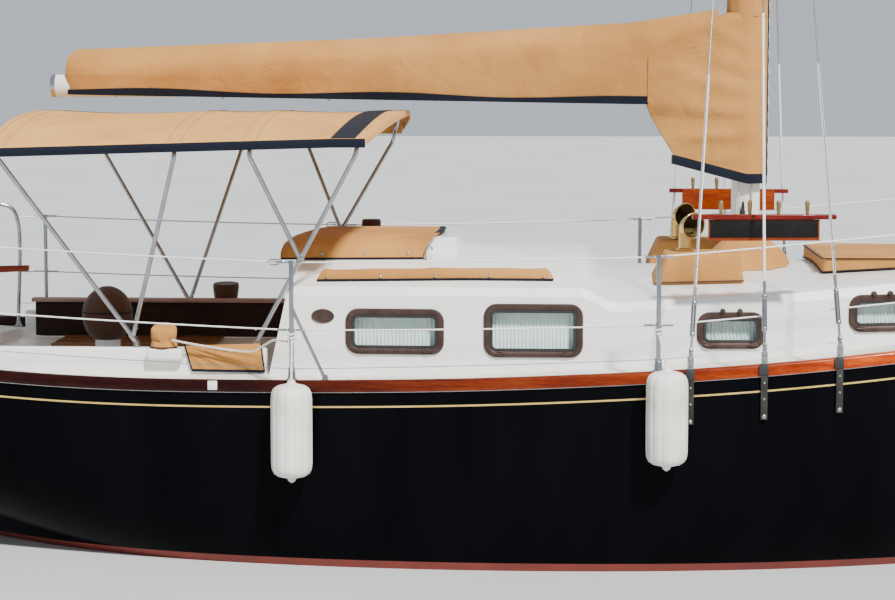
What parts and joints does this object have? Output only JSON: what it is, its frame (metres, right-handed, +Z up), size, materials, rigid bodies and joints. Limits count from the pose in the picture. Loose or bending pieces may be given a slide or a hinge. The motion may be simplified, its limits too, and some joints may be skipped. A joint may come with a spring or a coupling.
{
  "type": "sailing yacht",
  "caption": "Traditional cutter-rigged sailing yacht with black hull, white cabin trunk, varnished rails, tan canvas covers, bimini, bowsprit and outboard rudder.",
  "frame": {"origin": "on the centreline at the waterline, midway along the hull's deck", "axes": "+X to the bow, +Y to port, +Z up"},
  "size_m": [11.2452, 3.3151, 14.1],
  "materials": {
    "hull_gloss": "polished near-black gelcoat",
    "white_gelcoat": "white gelcoat",
    "white_spar": "white paint",
    "varnished_teak": "gloss varnish",
    "tan_canvas": "woven cloth with navy edges",
    "brown_canvas": "woven cloth",
    "stainless": "polished",
    "bronze_frame": "weathered bronze frame with clear glass",
    "brass": "polished",
    "bronze": "plain bronze",
    "iron": "painted",
    "fender_vinyl": "soft vinyl"
  },
  "bodies": {
    "yacht": {"hull_aft": "hull_gloss", "hull_middle": "hull_gloss", "hull_bow": "hull_gloss", "ballast_keel": "iron", "engine": "iron", "cabin_trunk": "white_gelcoat", "sea_hood": "white_gelcoat", "companionway_boards": "varnished_teak", "hatch_cover": "tan_canvas", "fore_hatch_coaming": "varnished_teak", "mast": "white_spar", "bowsprit": "varnished_teak", "bowsprit_stays": "stainless", "boomkin": "varnished_teak", "forestay": "stainless", "staysail_stay": "stainless", "backstay": "stainless", "pulpit": "stainless", "pushpit": "stainless", "bimini_fore_bows": "stainless", "bimini_aft_bows": "stainless", "bimini_canopy": "tan_canvas", "binnacle": "brown_canvas", "fore_fender": "fender_vinyl", "aft_fender": "fender_vinyl", "starboard_rail": "varnished_teak", "starboard_handrail_cover": "tan_canvas", "starboard_deck_box": "tan_canvas", "starboard_cowl_vent": "brass", "starboard_cap_shroud": "stainless", "starboard_lower_shrouds": "stainless", "starboard_pin_rail": "varnished_teak", "starboard_coaming": "white_gelcoat", "starboard_winch": "tan_canvas", "starboard_window_1": "bronze_frame", "starboard_window_2": "bronze_frame", "starboard_window_3": "bronze_frame", "starboard_window_4": "bronze_frame", "port_rail": "varnished_teak", "port_handrail_cover": "tan_canvas", "port_deck_box": "tan_canvas", "port_cowl_vent": "brass", "port_cap_shroud": "stainless", "port_lower_shrouds": "stainless", "port_pin_rail": "varnished_teak", "port_coaming": "white_gelcoat", "port_winch": "tan_canvas", "port_window_1": "bronze_frame", "port_window_2": "bronze_frame", "port_window_3": "bronze_frame", "port_window_4": "bronze_frame"},
    "boom_rig": {"boom": "white_spar", "sail_cover": "tan_canvas"},
    "steering": {"rudder": "hull_gloss", "tiller": "varnished_teak"},
    "propeller_body": {"propeller": "bronze"},
    "sliding_hatch": {"companionway_hatch": "varnished_teak"},
    "skylight_lid": {"fore_hatch_lid": "tan_canvas"},
    "starboard_lid": {"starboard_locker_lid": "varnished_teak"},
    "port_lid": {"port_locker_lid": "varnished_teak"}
  },
  "joints": [
    {"name": "boom_swing", "type": "hinge", "parent": "yacht", "child": "boom_rig", "pos_m": [0.95, 0, 2.55], "axis": [0, 0, 1], "range_deg": [-60, 60]},
    {"name": "rudder_turn", "type": "hinge", "parent": "yacht", "child": "steering", "pos_m": [-4.0368, 0, 0], "axis": [-0.2334, 0, 0.9724], "range_deg": [-35, 35]},
    {"name": "propeller_spin", "type": "hinge", "parent": "yacht", "child": "propeller_body", "pos_m": [-3.6, 0, -0.8], "axis": [1, 0, 0], "continuous": true},
    {"name": "hatch_slide", "type": "slide", "parent": "yacht", "child": "sliding_hatch", "axis": [1, 0, 0], "range_m": [0, 0.41]},
    {"name": "skylight_hinge", "type": "hinge", "parent": "yacht", "child": "skylight_lid", "pos_m": [1.985, 0, 1.572], "axis": [0, 1, 0], "range_deg": [0, 75]},
    {"name": "starboard_lid_hinge", "type": "hinge", "parent": "yacht", "child": "starboard_lid", "pos_m": [-2.7, -0.845, 0.9603], "axis": [1, 0, 0], "range_deg": [0, 85]},
    {"name": "port_lid_hinge", "type": "hinge", "parent": "yacht", "child": "port_lid", "pos_m": [-2.7, 0.845, 0.9603], "axis": [-1, 0, 0], "range_deg": [0, 85]}
  ]
}
